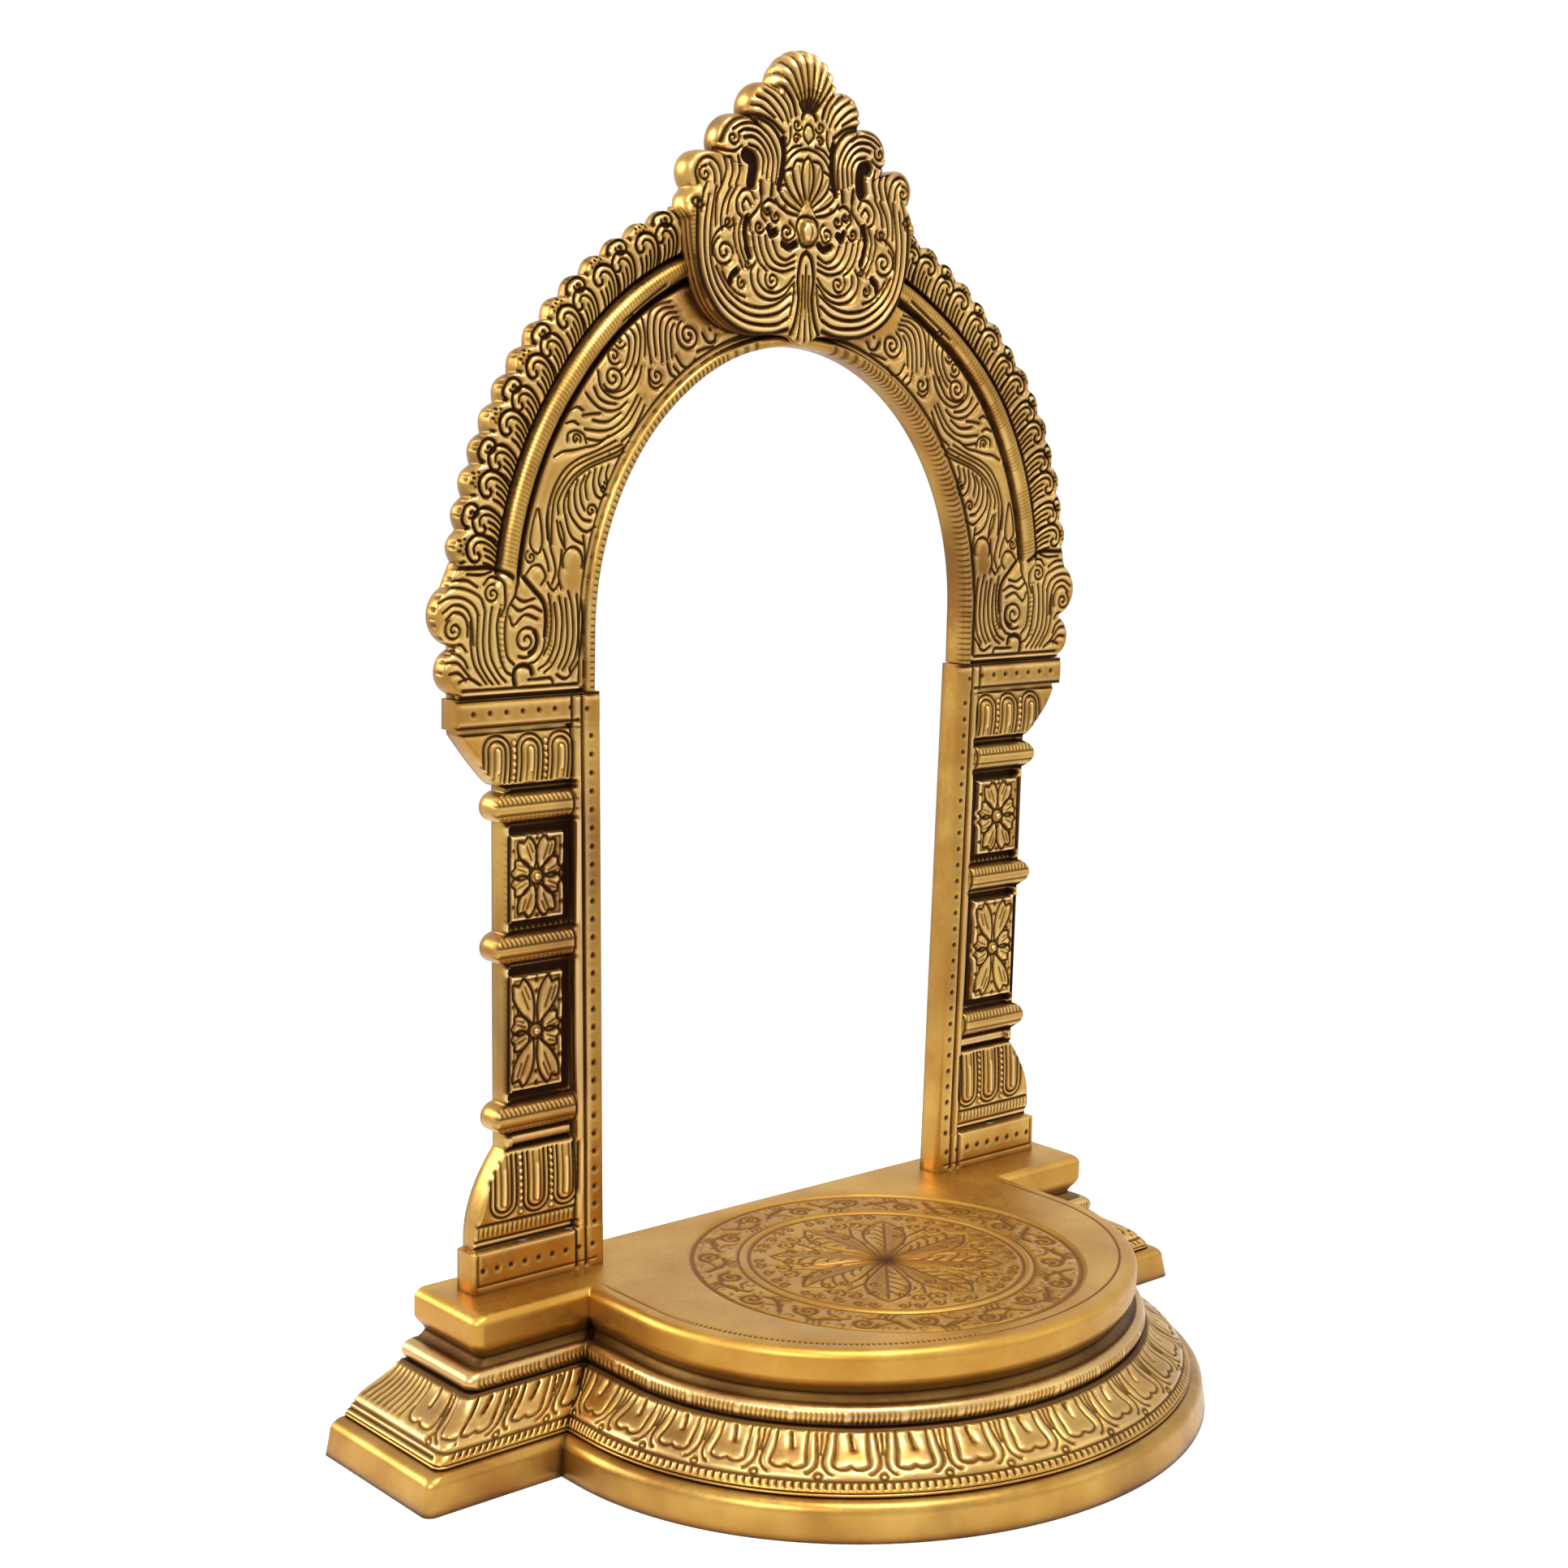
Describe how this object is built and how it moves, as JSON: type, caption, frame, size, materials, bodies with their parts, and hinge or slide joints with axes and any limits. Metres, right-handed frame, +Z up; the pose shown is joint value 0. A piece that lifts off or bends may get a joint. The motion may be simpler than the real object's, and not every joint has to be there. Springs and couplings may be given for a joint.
{
  "type": "deity throne",
  "caption": "Brass arched throne: two relief pillars and an ornamental arch with a crest, on a lotus-moulded pedestal with a round engraved seat.",
  "frame": {"origin": "centre of the footprint, on the surface the throne stands on", "axes": "+Z up, the front faces -Y, and +X is to the viewer's right when looking at the front"},
  "size_m": [0.29, 0.1516, 0.3808],
  "materials": {
    "cast_brass": "antique patina, satin high spots, dark recesses",
    "seat_brass": "satin, lightly brushed",
    "fastener_steel": "plain machined"
  },
  "bodies": {
    "root": {"pedestal_shell": "cast_brass", "seat_plate": "seat_brass", "left_pillar": "cast_brass", "right_pillar": "cast_brass", "arch_band": "cast_brass", "crest": "cast_brass", "foot_bolt_1": "fastener_steel", "foot_bolt_2": "fastener_steel", "foot_bolt_3": "fastener_steel", "foot_bolt_4": "fastener_steel", "foot_washer_1": "fastener_steel", "foot_washer_2": "fastener_steel", "foot_washer_3": "fastener_steel", "foot_washer_4": "fastener_steel", "seat_screw_1": "fastener_steel", "seat_screw_2": "fastener_steel", "seat_screw_3": "fastener_steel", "arch_dowel_1": "fastener_steel", "arch_dowel_2": "fastener_steel", "arch_dowel_3": "fastener_steel", "arch_dowel_4": "fastener_steel", "crest_rivet_1": "cast_brass", "crest_rivet_2": "cast_brass", "crest_rivet_3": "cast_brass"}
  },
  "joints": []
}
